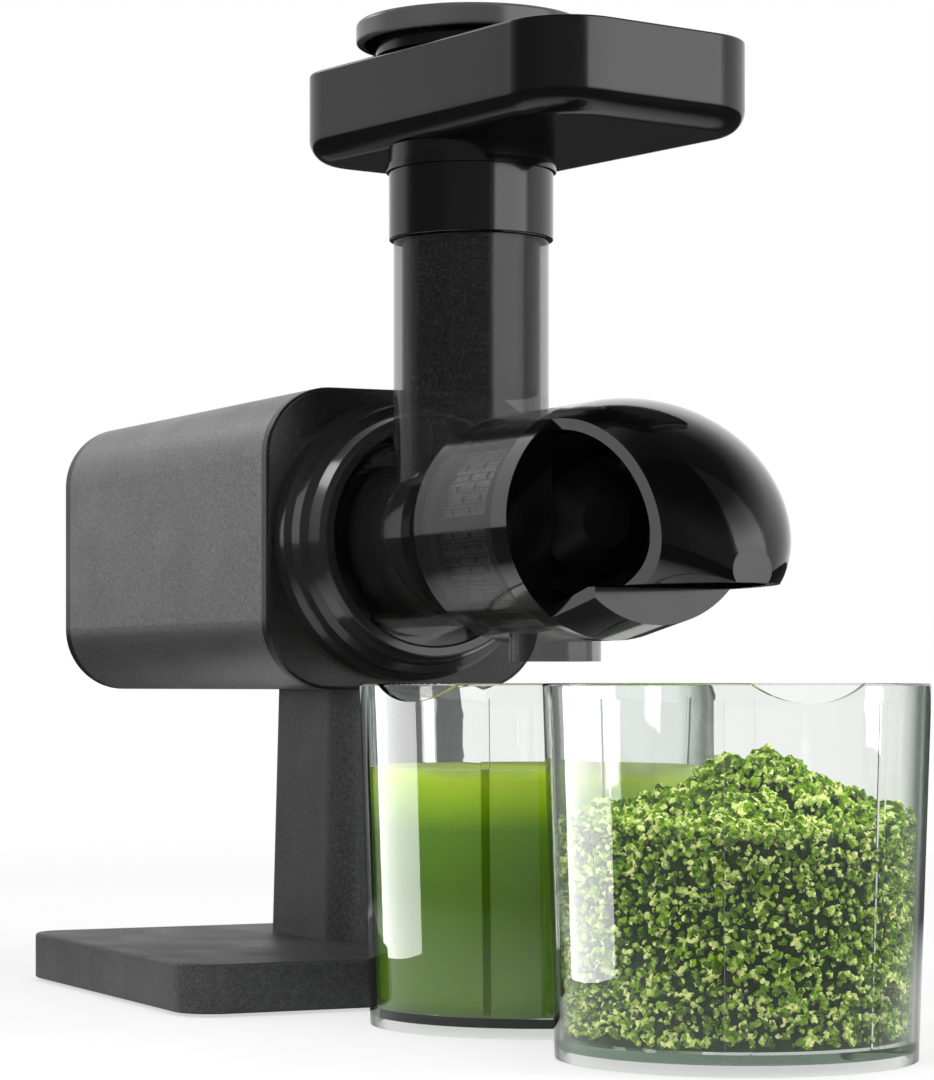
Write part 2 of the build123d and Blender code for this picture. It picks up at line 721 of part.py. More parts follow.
# The rocker is a bar with a shallow V on its face: it tips on two trunnions in the body.
rocker_half = rocker_height / 2 - 0.4
with BuildPart() as switch_rocker:
    with BuildSketch(rocker_plane):
        with BuildLine():
            Polyline([(rocker_pivot_y - 3.0, switch_z - rocker_half + 1.2),
                      (rocker_pivot_y + 4.6, switch_z - rocker_half),
                      (rocker_pivot_y + rocker_rise, switch_z),
                      (rocker_pivot_y + 4.6, switch_z + rocker_half),
                      (rocker_pivot_y - 3.0, switch_z + rocker_half - 1.2)], close=True)
        make_face()
    extrude(amount=rocker_width / 2, both=True)
    with BuildSketch(rocker_plane):
        with Locations((rocker_pivot_y, switch_z)):
            Circle(trunnion_radius)
    extrude(amount=trunnion_length, both=True)
switch_rocker.part.label = "switch_rocker"
export_step(switch_rocker.part, "parts/switch_rocker.step")

with BuildPart() as cord_inlet:
    with BuildSketch(facing_front(housing_length + 3.0, x=inlet_side, z=switch_z)):
        Circle(inlet_radius)
    extrude(amount=3.0)
    fillet(cord_inlet.edges().group_by(Axis.Y)[-1], 1.0)
    with BuildSketch(facing_front(housing_length, x=inlet_side, z=switch_z)):
        Circle(inlet_radius - 1.5)
    extrude(amount=rear_cover_thickness + 3.0)
    with BuildSketch(facing_front(housing_length + 3.0, x=inlet_side, z=switch_z)):
        Circle(inlet_bore)
    extrude(amount=rear_cover_thickness + 6.0, mode=Mode.SUBTRACT)
cord_inlet.part.label = "cord_inlet"
export_step(cord_inlet.part, "parts/cord_inlet.step")

# ---------------------------------------------------------------- juicing drum
drum_inner = drum_radius - drum_wall
neck_inner = neck_radius - neck_wall
rear_wall = 5.0
seal_radius = 10.0

with BuildPart() as juicing_drum:
    with BuildSketch(turning_plane):
        with BuildLine():
            Polyline([(drum_back, 0), (drum_back, flange_radius), (flange_front, flange_radius),
                      (flange_front, neck_radius), (neck_end, neck_radius),
                      (drum_step, drum_radius - drum_step_height), (drum_step, drum_radius),
                      (drum_front, drum_radius), (drum_front, 0)], close=True)
        make_face()
    revolve(axis=auger_axis)
    with Locations(place(0, tube_y, axis_height)):
        Cylinder(tube_radius, chute_collar_bottom - seat_gap - axis_height,
                 align=(Align.CENTER, Align.CENTER, Align.MIN))
        Cylinder(tube_spigot, tube_top - axis_height, align=(Align.CENTER, Align.CENTER, Align.MIN))
    with Locations(place(0, spout_y, spout_bottom)):
        Cylinder(spout_radius, axis_height - drum_inner - spout_bottom + 6,
                 align=(Align.CENTER, Align.CENTER, Align.MIN))
    with BuildSketch(facing_front(drum_back)):
        with PolarLocations(flange_radius - 1, lug_count, 90):
            Rectangle(lug_reach - flange_radius + 1, lug_width, align=(Align.MIN, Align.CENTER))
    extrude(amount=flange_thickness)
    with BuildSketch(turning_plane):
        with BuildLine():
            Polyline([(drum_back - rear_wall, 0), (drum_back - rear_wall, neck_inner), (neck_end, neck_inner),
                      (drum_step, drum_inner), (drum_front, drum_inner), (drum_front, 0)], close=True)
        make_face()
    revolve(axis=auger_axis, mode=Mode.SUBTRACT)
    with BuildSketch(facing_front(drum_back)):
        Circle(seal_radius + slip_gap)
    extrude(amount=rear_wall, mode=Mode.SUBTRACT)
    with Locations(place(0, tube_y, axis_height)):
        Cylinder(tube_bore, tube_top - axis_height, align=(Align.CENTER, Align.CENTER, Align.MIN),
                 mode=Mode.SUBTRACT)
    with Locations(place(0, spout_y, spout_bottom)):
        Cylinder(spout_bore, 2 * (axis_height - drum_inner - spout_bottom),
                 align=(Align.CENTER, Align.CENTER, Align.MIN), mode=Mode.SUBTRACT)
juicing_drum.part.label = "juicing_drum"
export_step(juicing_drum.part, "parts/juicing_drum.step")

with BuildPart() as drum_seal:
    with BuildSketch(turning_plane):
        with BuildLine():
            seal_front = drum_back - 0.2
            seal_back = drum_back - rear_wall + 0.2
            seal_lip = journal_radius + 0.4
            Polyline([(seal_front, seal_lip), (seal_front, seal_radius), (seal_back, seal_radius),
                      (seal_back, seal_radius - 1.6), (seal_back + 1.8, seal_radius - 1.6),
                      (seal_back + 1.8, seal_lip)], close=True)
        make_face()
    revolve(axis=auger_axis)
drum_seal.part.label = "drum_seal"
export_step(drum_seal.part, "parts/drum_seal.step")

with BuildPart() as screen_frame:
    frame_outer = drum_inner - slip_gap
    frame_inner = screen_radius + slip_gap
    with BuildSketch(facing_front(screen_back)):
        Circle(frame_outer)
        Circle(frame_inner, mode=Mode.SUBTRACT)
    extrude(amount=frame_ring)
    with BuildSketch(facing_front(screen_front + frame_ring)):
        Circle(frame_outer)
        Circle(frame_inner, mode=Mode.SUBTRACT)
    extrude(amount=frame_ring)
    with BuildSketch(facing_front(screen_back)):
        with PolarLocations((frame_outer + frame_inner) / 2, frame_ribs):
            Rectangle(frame_outer - frame_inner - 0.6, 4.0)
    extrude(amount=screen_back - screen_front)
screen_frame.part.label = "screen_frame"
export_step(screen_frame.part, "parts/screen_frame.step")

with BuildPart() as filter_screen:
    with BuildSketch(facing_front(screen_back)):
        Circle(screen_radius)
        Circle(screen_radius - screen_thickness, mode=Mode.SUBTRACT)
    extrude(amount=screen_back - screen_front)
    row_pitch = (screen_back - screen_front - 2 * frame_ring) / screen_rows
    for row in range(screen_rows):
        row_y = screen_back - frame_ring - row_pitch * (row + 0.5)
        row_turn = (row % 2) * 180.0 / screen_columns
        with Locations(facing_front(row_y)):
            with PolarLocations(screen_radius, screen_columns, row_turn):
                Cylinder(screen_hole, 4.0, rotation=(0, 90, 0), mode=Mode.SUBTRACT)
filter_screen.part.label = "filter_screen"
export_step(filter_screen.part, "parts/filter_screen.step")

# ---------------------------------------------------------------- auger
flight_front = screen_front + 1.0
press_start = screen_back - 2.0
def flight(start_y, end_y, pitch, root, tip):
    """One screw flight round the auger axis, swept along a helix towards -Y."""
    start = Vector(*place(0, start_y, axis_height))
    path = Helix(pitch, start_y - end_y, root, center=start, direction=(0, -1, 0))
    profile = Plane(origin=path @ 0, x_dir=(path @ 0 - start).normalized(), z_dir=path % 0)
    section = profile * Rectangle(tip - root, flight_thickness, align=(Align.MIN, Align.CENTER))
    return sweep(section, path, is_frenet=True)


rear_flight = flight(auger_back - flight_thickness, press_start + flight_thickness, rear_pitch,
                     auger_core - 1.0, auger_flight)
press_flight = flight(press_start - flight_thickness, flight_front + flight_thickness, press_pitch,
                      auger_core + 1.0, auger_press_flight)
with BuildPart() as auger:
    with BuildSketch(turning_plane):
        with BuildLine():
            Polyline([(auger_back, 0), (auger_back, auger_core), (press_start, auger_core + 2),
                      (flight_front, auger_nose_core), (auger_front + 6, auger_nose_core - 5),
                      (auger_front, 8.0), (auger_front, 0)], close=True)
        make_face()
    revolve(axis=auger_axis)
    with BuildSketch(facing_front(auger_back)):
        Circle(journal_radius + slip_gap / 2)
    extrude(amount=14.0, mode=Mode.SUBTRACT)
    add([rear_flight, press_flight])
auger.part.label = "auger"
export_step(auger.part, "parts/auger.step")

with BuildPart() as auger_shank:
    with BuildSketch(facing_front(collar_face - 1.0)):
        Circle(journal_radius)
    extrude(amount=collar_face - 1.0 - auger_back + 13.5)
    with BuildSketch(facing_front(2.5)):
        RegularPolygon(hex_radius, 6)
    extrude(amount=2.5 - collar_face + 1.0)
auger_shank.part.label = "auger_shank"
export_step(auger_shank.part, "parts/auger_shank.step")

# ---------------------------------------------------------------- pulp hood
hood_sections = (0.0, 0.25, 0.45, 0.62, 0.76, 0.87, 0.94, 0.985)


def hood_round(y_part, shrink):
    """Centre height and radius of the hood's round section at a share of its reach."""
    share = sqrt(1 - y_part ** 2)
    height = hood_floor + (axis_height - hood_floor) * share
    return height, max(drum_radius * share - shrink, 0.4)


def hood_loft(shrink):
    """The dome as a loft of circles that shrink and sink towards the nose."""
    with BuildPart() as dome:
        for part in hood_sections:
            height, radius = hood_round(part, shrink)
            with BuildSketch(facing_front(hood_back - part * (hood_reach - shrink), z=height)):
                Circle(radius)
        loft()
    return dome.part


dome_outer = hood_loft(0)
dome_inner = hood_loft(hood_wall)

with BuildPart() as hood_top:
    add(dome_outer)
    add(dome_inner, mode=Mode.SUBTRACT)
    with Locations(place(0, hood_back, hood_floor)):
        Box(4 * drum_radius, 3 * hood_reach, 2 * drum_radius, align=(Align.CENTER, Align.CENTER, Align.MAX),
            mode=Mode.SUBTRACT)

with BuildPart() as hood_lip:
    with BuildSketch(turning_plane):
        with BuildLine():
            Polyline([(hood_back, 0), (hood_back, drum_radius), (lip_front, lip_radius),
                      (lip_front, 0)], close=True)
        make_face()
    revolve(axis=auger_axis)
    with BuildSketch(turning_plane):
        with BuildLine():
            Polyline([(hood_back, 0), (hood_back, drum_radius - hood_wall),
                      (lip_front + hood_wall, lip_radius - hood_wall), (lip_front + hood_wall, 0)], close=True)
        make_face()
    revolve(axis=auger_axis, mode=Mode.SUBTRACT)
    with Locations(place(0, hood_back, hood_floor)):
        Box(4 * drum_radius, 3 * hood_reach, 3 * drum_radius, align=(Align.CENTER, Align.CENTER, Align.MIN),
            mode=Mode.SUBTRACT)

mouth_radius = drum_inner - spigot_gap - hood_wall
with BuildPart() as pulp_hood:
    add(hood_top.part)
    add(hood_lip.part)
    with Locations(place(hood_cut, hood_back, axis_height)):
        Box(2 * drum_radius, 3 * hood_reach, 4 * drum_radius, align=(Align.MAX, Align.CENTER, Align.CENTER),
            mode=Mode.SUBTRACT)
    with BuildSketch(facing_front(drum_front)):
        Circle(drum_radius)
        Circle(mouth_radius, mode=Mode.SUBTRACT)
    extrude(amount=hood_flange)
    with BuildSketch(facing_front(drum_front)):
        Circle(mouth_radius + hood_wall)
        Circle(mouth_radius, mode=Mode.SUBTRACT)
    extrude(amount=-spigot_length)
    with BuildSketch(facing_front(hood_back + hood_wall)):
        Circle(mouth_radius + 1.0)
        with Locations((hood_cut, 0)):
            Rectangle(4 * drum_radius, 4 * drum_radius, align=(Align.MIN, Align.CENTER), mode=Mode.SUBTRACT)
    extrude(amount=hood_wall)
pulp_hood.part.label = "pulp_hood"
export_step(pulp_hood.part, "parts/pulp_hood.step")

# ---------------------------------------------------------------- collar, tray and pusher
with BuildPart() as chute_collar:
    with Locations(place(0, tube_y, chute_collar_bottom)):
        Cylinder(chute_collar_radius, chute_collar_top - chute_collar_bottom,
                 align=(Align.CENTER, Align.CENTER, Align.MIN))
    with Locations(place(0, tube_y, chute_collar_top)):
        Cylinder(chute_collar_radius + chute_lip, 2.2, align=(Align.CENTER, Align.CENTER, Align.MAX))
    with Locations(place(0, tube_y, chute_collar_bottom)):
        Cylinder(tube_spigot + seat_gap, chute_collar_top - chute_collar_bottom,
                 align=(Align.CENTER, Align.CENTER, Align.MIN), mode=Mode.SUBTRACT)
    lower_rims = chute_collar.edges().filter_by(GeomType.CIRCLE).group_by(Axis.Z)[0]
    fillet(lower_rims.sort_by(SortBy.RADIUS)[-1], 0.6)
chute_collar.part.label = "chute_collar"
export_step(chute_collar.part, "parts/chute_collar.step")

tray_origin = Plane(origin=place(0, tube_y, 0), x_dir=(cos(radians(tray_turn)), sin(radians(tray_turn)), 0),
                    z_dir=(0, 0, 1))
neck_top = tray_bottom + 0.5
with BuildPart() as feed_tray:
    with BuildSketch(tray_origin.offset(tray_bottom)):
        with Locations((tray_shift_x, tray_shift_y)):
            RectangleRounded(tray_width, tray_length, tray_corner)
    extrude(amount=tray_height)
    fillet(feed_tray.edges().group_by(Axis.Z)[0], tray_edge)
    tray_rim = feed_tray.faces().sort_by(Axis.Z)[-1]
    offset(amount=-tray_wall, openings=tray_rim)
    fillet(feed_tray.faces().sort_by(Axis.Z)[-1].outer_wire().edges(), 0.9)
    with BuildSketch(tray_origin.offset(chute_collar_top)):
        Circle(chute_collar_radius + 0.4)
    extrude(amount=neck_top - chute_collar_top)
    with BuildSketch(tray_origin.offset(tube_top + seat_gap)):
        Circle(tube_spigot + seat_gap - slip_gap)
    extrude(amount=chute_collar_top - tube_top)
    with BuildSketch(tray_origin.offset(tube_top)):
        Circle(tube_bore)
    extrude(amount=tray_height + tray_bottom - tube_top, mode=Mode.SUBTRACT)
feed_tray.part.label = "feed_tray"
export_step(feed_tray.part, "parts/feed_tray.step")

pusher_seat = tray_floor + seat_gap
with BuildPart() as pusher_body:
    with Locations(place(0, tube_y, pusher_bottom)):
        Cylinder(pusher_radius, cap_bottom - pusher_bottom, align=(Align.CENTER, Align.CENTER, Align.MIN))
    with Locations(place(0, tube_y, pusher_seat)):
        Cylinder(pusher_stop_radius, pusher_neck_bottom - pusher_seat,
                 align=(Align.CENTER, Align.CENTER, Align.MIN))
    chamfer(pusher_body.edges().filter_by(GeomType.CIRCLE).filter_by_position(
        Axis.Z, pusher_seat - 0.1, pusher_seat + 0.1).sort_by(SortBy.RADIUS)[-1], 0.9)
    with Locations(place(0, tube_y, pusher_neck_bottom)):
        Cylinder(pusher_neck_radius, cap_bottom - pusher_neck_bottom,
                 align=(Align.CENTER, Align.CENTER, Align.MIN))
    with Locations(place(0, tube_y, pusher_head_bottom)):
        Cylinder(pusher_head_radius, cap_bottom + cap_recess - pusher_head_bottom,
                 align=(Align.CENTER, Align.CENTER, Align.MIN))
    with Locations(place(0, tube_y, pusher_bottom + pusher_wall)):
        Cylinder(pusher_radius - pusher_wall, cap_bottom + cap_recess - pusher_bottom - pusher_wall,
                 align=(Align.CENTER, Align.CENTER, Align.MIN), mode=Mode.SUBTRACT)
    chamfer(pusher_body.edges().group_by(Axis.Z)[0], 1.0)
pusher_body.part.label = "pusher_body"
export_step(pusher_body.part, "parts/pusher_body.step")

with BuildPart() as pusher_cap:
    with Locations(place(0, tube_y, cap_bottom)):
        Cylinder(cap_radius, cap_height, align=(Align.CENTER, Align.CENTER, Align.MIN))
    fillet(pusher_cap.edges().group_by(Axis.Z)[-1], 1.6)
    fillet(pusher_cap.edges().group_by(Axis.Z)[0], 0.8)
    with Locations(place(0, tube_y, cap_bottom)):
        Cylinder(cap_radius - cap_rim, cap_recess, align=(Align.CENTER, Align.CENTER, Align.MIN),
                 mode=Mode.SUBTRACT)
pusher_cap.part.label = "pusher_cap"
export_step(pusher_cap.part, "parts/pusher_cap.step")


# ---------------------------------------------------------------- cups
def make_cup(spot, lip_turn):
    """Clear tapered cup with a raised floor, a pouring dip and four upright ribs inside."""
    foot = place(*spot, 0)
    middle = Axis(foot, (0, 0, 1))
    side = Plane(origin=foot, x_dir=(1, 0, 0), z_dir=(0, -1, 0))
    floor_top = cup_floor_lift + cup_floor
    slope = (cup_rim_radius - cup_base_radius) / cup_height
    inner_base = cup_base_radius - cup_wall
    rib_low = floor_top - cup_floor / 2
    rib_high = cup_height - cup_rib_drop
    inner_low = inner_base + slope * rib_low
    inner_high = inner_base + slope * rib_high
    with BuildPart() as cup:
        with BuildSketch(side):
            with BuildLine():
                Polyline([(0, cup_floor_lift), (inner_base + slope * cup_floor_lift, cup_floor_lift),
                          (inner_base, 0), (cup_base_radius, 0), (cup_rim_radius, cup_height),
                          (inner_base + slope * cup_height, cup_height),
                          (inner_base + slope * floor_top, floor_top), (0, floor_top)], close=True)
            make_face()
        revolve(axis=middle)
        fillet(cup.edges().group_by(Axis.Z)[-1], 0.7)
        for turn in (-rib_spread, rib_spread, 180 - rib_spread, 180 + rib_spread):
            angle = radians(lip_turn + turn)
            rib_plane = Plane(origin=foot, x_dir=(cos(angle), sin(angle), 0), z_dir=(sin(angle), -cos(angle), 0))
            with BuildSketch(rib_plane):
                with BuildLine():
                    Polyline([(inner_low - cup_rib_height, rib_low), (inner_low + cup_wall / 2, rib_low),
                              (inner_high + cup_wall / 2, rib_high), (inner_high - cup_rib_height, rib_high)],
                             close=True)
                make_face()
            extrude(amount=cup_rib_width / 2, both=True)
        dip = Plane(origin=place(*spot, cup_height + lip_round - lip_dip),
                    x_dir=(-sin(radians(lip_turn)), cos(radians(lip_turn)), 0),
                    z_dir=(cos(radians(lip_turn)), sin(radians(lip_turn)), 0))
        with BuildSketch(dip):
            Circle(lip_round)
        extrude(amount=cup_rim_radius + 5, mode=Mode.SUBTRACT)
    return cup


juice_cup = make_cup(juice_cup_place, 200.0)
juice_cup.part.label = "juice_cup"
export_step(juice_cup.part, "parts/juice_cup.step")

pulp_cup = make_cup(pulp_cup_place, 262.0)
pulp_cup.part.label = "pulp_cup"
export_step(pulp_cup.part, "parts/pulp_cup.step")
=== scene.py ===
import math

import bmesh
import bpy
import numpy as np
from mathutils import Matrix, Vector, noise


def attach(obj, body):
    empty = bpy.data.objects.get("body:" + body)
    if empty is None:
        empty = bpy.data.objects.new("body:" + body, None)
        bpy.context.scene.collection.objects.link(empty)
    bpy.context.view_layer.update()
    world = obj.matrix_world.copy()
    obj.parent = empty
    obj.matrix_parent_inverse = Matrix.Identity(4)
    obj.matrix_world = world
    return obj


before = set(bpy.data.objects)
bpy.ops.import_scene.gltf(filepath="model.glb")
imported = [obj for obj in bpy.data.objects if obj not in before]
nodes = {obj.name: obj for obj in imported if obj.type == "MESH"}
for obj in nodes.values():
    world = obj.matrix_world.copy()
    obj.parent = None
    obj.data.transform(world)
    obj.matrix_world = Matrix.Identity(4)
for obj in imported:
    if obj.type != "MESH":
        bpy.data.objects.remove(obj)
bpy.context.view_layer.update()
scene = bpy.context.scene

# ------------------------------------------------------------------ sizes, metres, row frame
HOUSING_FRONT = 0.0337                                   # y of the motor housing's front face
JUICE = Vector((-0.011, -0.120 + HOUSING_FRONT, 0.0))    # foot of the juice cup's axis
PULP = Vector((-0.003, -0.229 + HOUSING_FRONT, 0.0))     # foot of the pulp cup's axis
CUP_BASE, CUP_RIM = 0.0505, 0.054                        # outer radii of both cups
CUP_H, CUP_WALL = 0.104, 0.0022
CUP_FLOOR = 0.0058                                       # top of the cups' raised floor
TO_CAMERA = Vector((-0.426, -0.905, 0.0))                # level, from the part towards the camera
TO_RIGHT = Vector((0.905, -0.426, 0.0))                  # level, to the right in the photo


# ------------------------------------------------------------------ node trees
NOISE_SPAN = (0.3, 0.7)           # where most values of a noise texture lie


class Tree:
    """Short calls that add nodes to a tree and link them."""

    def __init__(self, tree):
        self.tree = tree

    def add(self, kind, **settings):
        node = self.tree.nodes.new(kind)
        for key, value in settings.items():
            setattr(node, key, value)
        return node

    def put(self, value, socket):
        """Links another node's output to an input, or sets the input to a plain value."""
        if isinstance(value, bpy.types.NodeSocket):
            self.tree.links.new(value, socket)
        else:
            socket.default_value = value

    def combine(self, operation, *values):
        """Math node over two outputs or numbers."""
        node = self.add("ShaderNodeMath", operation=operation)
        for socket, value in zip(node.inputs, values):
            self.put(value, socket)
        return node.outputs["Value"]

    def mix(self, share, first, second):
        """Shader that goes from the first to the second as share goes from 0 to 1."""
        node = self.add("ShaderNodeMixShader")
        for socket, value in zip(node.inputs, (share, first, second)):
            self.put(value, socket)
        return node.outputs["Shader"]

    def ramp(self, value, stops):
        """Colour by a value's place between (position, colour) stops, joined by straight lines."""
        node = self.add("ShaderNodeValToRGB")
        elements = node.color_ramp.elements
        while len(elements) < len(stops):
            elements.new(0.5)
        for element, (position, colour) in zip(elements, stops):
            element.position = position
            element.color = (*colour, 1.0)
        self.put(value, node.inputs["Fac"])
        return node.outputs["Color"]

    def range(self, value, low, high, from_low, from_high):
        """Carries from_low...from_high over to low...high, and stays within it."""
        node = self.add("ShaderNodeMapRange")
        node.inputs["From Min"].default_value = from_low
        node.inputs["From Max"].default_value = from_high
        node.inputs["To Min"].default_value = low
        node.inputs["To Max"].default_value = high
        self.put(value, node.inputs["Value"])
        return node.outputs["Result"]


class Material(Tree):
    """A new material with the Principled shader already in it."""

    def __init__(self, name):
        self.mat = bpy.data.materials.new(name)
        self.mat.use_nodes = True
        super().__init__(self.mat.node_tree)
        self.bsdf = self.tree.nodes["Principled BSDF"]
        self.out = self.tree.nodes["Material Output"]
        self.coord = self.tree.nodes.new("ShaderNodeTexCoord")

    def set(self, **values):
        """Plain inputs of the Principled shader; each _ stands for a space in the input's name."""
        for key, value in values.items():
            self.bsdf.inputs[key.replace("_", " ")].default_value = value

    def mapped(self, stretch=(1, 1, 1)):
        """The piece's own coordinates, stretched along each axis."""
        mapping = self.add("ShaderNodeMapping")
        mapping.inputs["Scale"].default_value = stretch
        self.put(self.coord.outputs["Object"], mapping.inputs["Vector"])
        return mapping.outputs["Vector"]

    def noise(self, scale, detail=4.0, rough=0.5, stretch=(1, 1, 1)):
        tex = self.add("ShaderNodeTexNoise")
        tex.inputs["Scale"].default_value = scale
        tex.inputs["Detail"].default_value = detail
        tex.inputs["Roughness"].default_value = rough
        self.put(self.mapped(stretch), tex.inputs["Vector"])
        return tex.outputs["Fac"]

    def cells(self, scale, **inputs):
        """Voronoi texture node."""
        tex = self.add("ShaderNodeTexVoronoi")
        tex.inputs["Scale"].default_value = scale
        for key, value in inputs.items():
            tex.inputs[key].default_value = value
        self.put(self.mapped(), tex.inputs["Vector"])
        return tex

    def spread(self, noise_value, low, high):
        """Noise that runs from low to high."""
        return self.range(noise_value, low, high, *NOISE_SPAN)

    def colour(self, value, stops):
        self.put(self.ramp(value, stops), self.bsdf.inputs["Base Color"])

    def rough(self, noise_value, low, high):
        self.put(self.spread(noise_value, low, high), self.bsdf.inputs["Roughness"])

    def bump(self, value, strength, distance):
        node = self.add("ShaderNodeBump")
        node.inputs["Strength"].default_value = strength
        node.inputs["Distance"].default_value = distance
        self.put(value, node.inputs["Height"])
        self.put(node.outputs["Normal"], self.bsdf.inputs["Normal"])


# ------------------------------------------------------------------ materials of the CAD nodes
def plastic(name, dark, light, rough, spread=0.05, grain=2600.0, grain_depth=0.00003, strength=0.25,
            cloud=14.0, coat=0.0, coat_rough=0.05, specular=0.5, metallic=0.0):
    """Moulded, painted or metal surface: cloudy colour, uneven gloss and a fine grain."""
    m = Material(name)
    m.colour(m.noise(cloud, 3.0), [(NOISE_SPAN[0], dark), (NOISE_SPAN[1], light)])
    m.rough(m.noise(cloud * 3.1, 5.0), rough - spread, rough + spread)
    m.bump(m.noise(grain, 2.0, 0.6), strength, grain_depth)
    m.set(Metallic=metallic, Coat_Weight=coat, Coat_Roughness=coat_rough, Specular_IOR_Level=specular)
    return m.mat


def flecked(name, base, pale, scale, rough, metallic=0.0, depth=0.00003):
    """Paint or satin plastic with fine pale flecks; rough is its lowest and highest roughness."""
    m = Material(name)
    fleck = m.noise(scale, 2.0, 0.75)
    between = tuple(0.5 * (a + b) for a, b in zip(base, pale))
    m.colour(fleck, [(0.36, base), (0.56, between), (0.70, pale)])
    m.rough(m.noise(40.0, 5.0), *rough)
    m.bump(fleck, 0.30, depth)
    m.set(Metallic=metallic)
    return m.mat


housing_satin = flecked("housing_satin", (0.130, 0.131, 0.135), (0.330, 0.331, 0.336), 1500.0,
                        (0.32, 0.40), metallic=0.80)
cover_satin = flecked("cover_satin", (0.0014, 0.0014, 0.0016), (0.0200, 0.0200, 0.0210), 1300.0,
                      (0.26, 0.36))
stand_matte = flecked("stand_matte", (0.0230, 0.0230, 0.0245), (0.0640, 0.0640, 0.0660), 1100.0,
                      (0.42, 0.54), depth=0.00005)
gloss_black = plastic("gloss_black", (0.0016, 0.0016, 0.0019), (0.0024, 0.0024, 0.0027), 0.09, 0.03,
                      grain=900, grain_depth=0.000004, strength=0.12, coat=0.35, coat_rough=0.03)
tray_satin = plastic("tray_satin", (0.0026, 0.0026, 0.0030), (0.0040, 0.0040, 0.0044), 0.16, 0.04,
                     grain=1300, grain_depth=0.000008, strength=0.15, coat=0.25, coat_rough=0.05)
collar_gloss = plastic("collar_gloss", (0.0090, 0.0090, 0.0098), (0.0150, 0.0150, 0.0160), 0.17, 0.04,
                       grain=1800, grain_depth=0.00001, strength=0.15, coat=0.4, coat_rough=0.06)
cap_satin = plastic("cap_satin", (0.056, 0.056, 0.058), (0.074, 0.074, 0.076), 0.24, 0.04, grain=1300,
                    grain_depth=0.000008, strength=0.15, coat=0.25, coat_rough=0.05)
# auger and screen frame near black: painted shade of the drum's closed interior
auger_dark_painted_shade = plastic("auger_dark_painted_shade", (0.0040, 0.0040, 0.0044), (0.0080, 0.0080, 0.0086), 0.38, grain=1500)
frame_dark_painted_shade = plastic("frame_dark_painted_shade", (0.0060, 0.0060, 0.0064), (0.0110, 0.0110, 0.0116), 0.42, grain=1800)
rubber_black = plastic("rubber_black", (0.012, 0.012, 0.012), (0.022, 0.022, 0.022), 0.78, grain=1200,
                       grain_depth=0.00006, strength=0.5, specular=0.3)
silicone = plastic("silicone", (0.50, 0.50, 0.48), (0.60, 0.60, 0.58), 0.55, grain=1200)
steel = plastic("steel", (0.50, 0.50, 0.51), (0.62, 0.62, 0.63), 0.28, 0.08, grain=900, metallic=1.0)
zinc_screw = plastic("zinc_screw", (0.42, 0.42, 0.43), (0.58, 0.58, 0.58), 0.34, 0.08, grain=1600,
                     metallic=1.0)
acetal = plastic("acetal", (0.72, 0.70, 0.64), (0.80, 0.78, 0.73), 0.40, grain=1500)
nylon = plastic("nylon_dark", (0.022, 0.022, 0.024), (0.034, 0.034, 0.036), 0.50, grain=1500)
zinc_sheet = plastic("zinc_sheet", (0.34, 0.35, 0.36), (0.48, 0.49, 0.50), 0.38, 0.08, cloud=60,
                     grain=800, metallic=0.9)
switch_black = plastic("switch_black", (0.010, 0.010, 0.010), (0.016, 0.016, 0.016), 0.36, grain=2200)
rocker_gloss = plastic("rocker_gloss", (0.020, 0.020, 0.020), (0.030, 0.030, 0.030), 0.22, grain=2200)
board_green = plastic("board_green", (0.010, 0.060, 0.024), (0.018, 0.085, 0.034), 0.38, cloud=90)


def laminated_core():
    """Stacked steel sheets: fine bands along the shaft."""
    m = Material("laminated_core")
    wave = m.add("ShaderNodeTexWave", wave_type="BANDS", bands_direction="Y")
    wave.inputs["Scale"].default_value = 320.0
    wave.inputs["Distortion"].default_value = 0.2
    m.put(m.mapped(), wave.inputs["Vector"])
    m.colour(wave.outputs["Fac"], [(0.2, (0.12, 0.115, 0.11)), (0.8, (0.26, 0.25, 0.24))])
    m.rough(m.noise(220.0), 0.35, 0.55)
    m.bump(wave.outputs["Fac"], 0.4, 0.0001)
    m.set(Metallic=0.8)
    return m.mat


def smoky_material():
    """Smoke-tinted clear plastic: partly see-through, glossy, with tiny pale flecks."""
    m = Material("smoky_clear")
    m.colour(m.noise(1300.0, 2.0, 0.75), [(0.40, (0.0060, 0.0060, 0.0068)), (0.58, (0.0180, 0.0178, 0.0180)),
                                          (0.70, (0.0800, 0.0780, 0.0770))])
    m.rough(m.noise(30.0, 3.0), 0.07, 0.13)
    m.bump(m.noise(700.0, 2.0), 0.10, 0.00001)
    m.set(Alpha=0.50, IOR=1.52, Coat_Weight=0.35, Coat_Roughness=0.03)
    return m.mat


def perforated_steel():
    """Brushed stainless sheet with fine dark pores between the screen's modelled holes."""
    m = Material("perforated_steel")
    brushed = m.noise(240.0, 4.0, 0.6, (6.0, 0.4, 6.0))
    pores = m.cells(850.0, Randomness=0.25)
    m.colour(pores.outputs["Distance"], [(0.28, (0.03, 0.03, 0.03)), (0.36, (0.66, 0.65, 0.63)),
                                         (0.60, (0.82, 0.81, 0.79))])
    m.rough(brushed, 0.22, 0.40)
    m.bump(brushed, 0.2, 0.00002)
    m.set(Metallic=1.0)
    return m.mat


